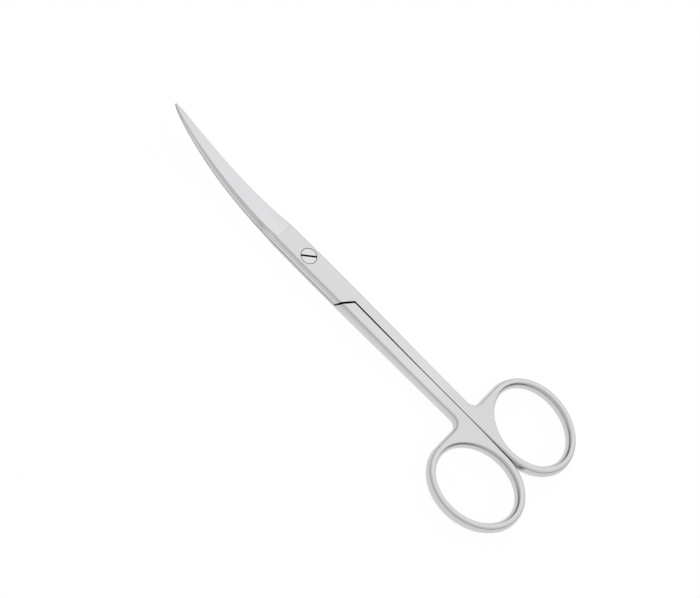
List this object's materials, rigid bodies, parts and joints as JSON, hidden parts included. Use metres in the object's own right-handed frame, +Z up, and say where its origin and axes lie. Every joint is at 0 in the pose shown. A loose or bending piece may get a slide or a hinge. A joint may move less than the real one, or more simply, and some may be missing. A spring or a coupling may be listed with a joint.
{
  "type": "dissecting scissors",
  "caption": "Curved dissecting scissors in satin steel, with a lap joint, a slotted pivot screw and oval finger rings.",
  "frame": {"origin": "on the pivot axis, at the underside of the joint", "axes": "+X along the closed blades to their points, +Y to the finger ring's side, +Z up, which is the way the points curve"},
  "size_m": [0.1388, 0.0488, 0.0112],
  "materials": {
    "satin_steel": "satin, finely brushed",
    "screw_steel": "satin, face ground flush"
  },
  "bodies": {
    "finger_side": {"finger_half": "satin_steel", "pivot_screw": "screw_steel"},
    "thumb_side": {"thumb_half": "satin_steel"}
  },
  "joints": [
    {"name": "blade_pivot", "type": "hinge", "parent": "finger_side", "child": "thumb_side", "pos_m": [0, 0, 0.0021], "axis": [0, 0, 1], "range_deg": [0, 90]}
  ]
}
